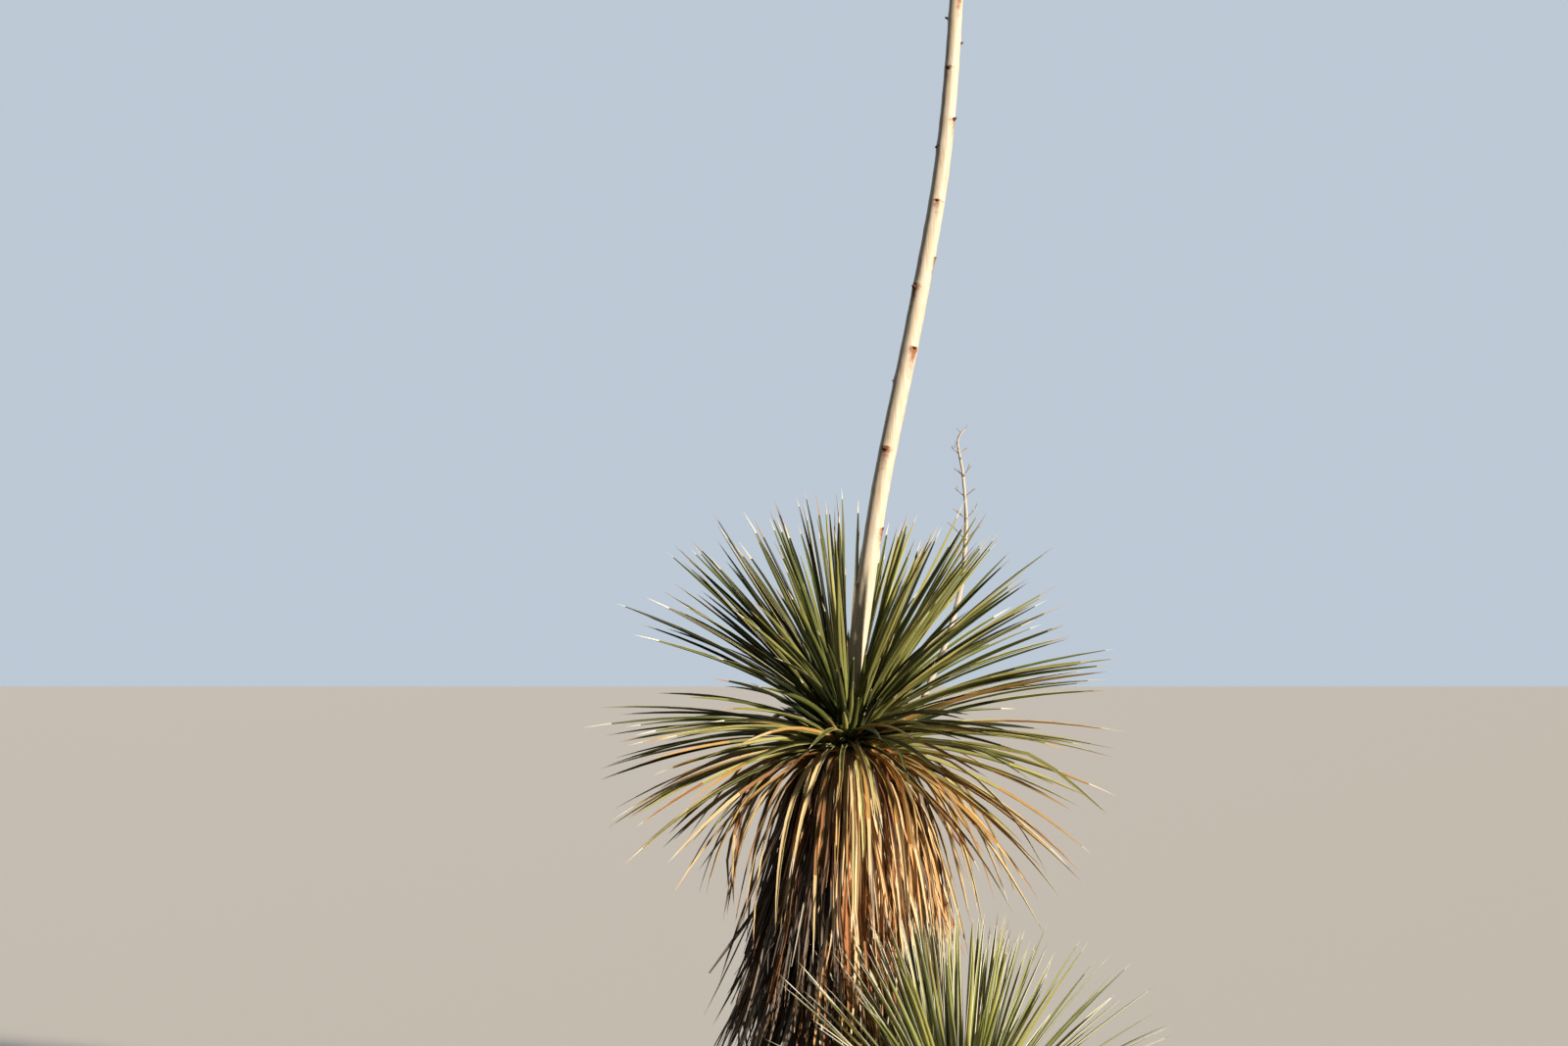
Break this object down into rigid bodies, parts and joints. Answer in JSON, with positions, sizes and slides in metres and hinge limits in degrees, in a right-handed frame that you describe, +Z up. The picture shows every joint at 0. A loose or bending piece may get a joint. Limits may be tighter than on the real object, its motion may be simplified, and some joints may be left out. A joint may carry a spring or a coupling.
{
  "type": "soaptree yucca",
  "caption": "Soaptree yucca with a leaning trunk, a ball of narrow leaves, a skirt of dead leaves, a tall bare flower stalk, a thin old stalk and a young offset at its foot.",
  "frame": {"origin": "on the ground, at the centre of the flat cut under the trunk", "axes": "+Z up; +X to the right and +Y away, seen from the pictured side; the trunk and the flower stalk lean to +X"},
  "size_m": [1.5953, 1.6164, 4.3],
  "materials": {
    "bark": "rough fibrous bark",
    "stalk": "dry bare wood",
    "old_stalk": "weathered bare wood",
    "green_leaf": "smooth leaf",
    "spent_leaf": "smooth leaf turning yellow",
    "straw_leaf": "dry leaf",
    "grey_leaf": "dry weathered leaf",
    "young_leaf": "smooth leaf"
  },
  "bodies": {
    "root": {"crown_lower_1": "spent_leaf", "crown_lower_2": "spent_leaf", "crown_lower_3": "spent_leaf", "crown_lower_4": "spent_leaf", "crown_lower_5": "spent_leaf", "crown_lower_6": "spent_leaf", "crown_lower_7": "spent_leaf", "crown_lower_8": "spent_leaf", "crown_upper_1": "green_leaf", "crown_upper_2": "green_leaf", "crown_upper_3": "green_leaf", "crown_upper_4": "green_leaf", "crown_upper_5": "green_leaf", "crown_upper_6": "green_leaf", "crown_upper_7": "green_leaf", "crown_upper_8": "green_leaf", "flower_stalk": "stalk", "head_branch_01": "stalk", "head_branch_02": "stalk", "head_branch_03": "stalk", "head_branch_04": "stalk", "head_branch_05": "stalk", "head_branch_06": "stalk", "head_branch_07": "stalk", "head_branch_08": "stalk", "head_branch_09": "stalk", "head_branch_10": "stalk", "head_branch_11": "stalk", "head_branch_12": "stalk", "head_branch_13": "stalk", "head_branch_14": "stalk", "offset_crown_1": "young_leaf", "offset_crown_2": "young_leaf", "offset_crown_3": "young_leaf", "offset_crown_4": "young_leaf", "offset_crown_5": "young_leaf", "offset_crown_6": "young_leaf", "offset_stem": "bark", "old_stalk": "old_stalk", "old_stalk_head": "old_stalk", "skirt_lower_1": "grey_leaf", "skirt_lower_2": "grey_leaf", "skirt_lower_3": "grey_leaf", "skirt_lower_4": "grey_leaf", "skirt_lower_5": "grey_leaf", "skirt_lower_6": "grey_leaf", "skirt_lower_7": "grey_leaf", "skirt_lower_8": "grey_leaf", "skirt_upper_1": "straw_leaf", "skirt_upper_2": "straw_leaf", "skirt_upper_3": "straw_leaf", "skirt_upper_4": "straw_leaf", "skirt_upper_5": "straw_leaf", "skirt_upper_6": "straw_leaf", "skirt_upper_7": "straw_leaf", "skirt_upper_8": "straw_leaf", "trunk": "bark"}
  },
  "joints": []
}
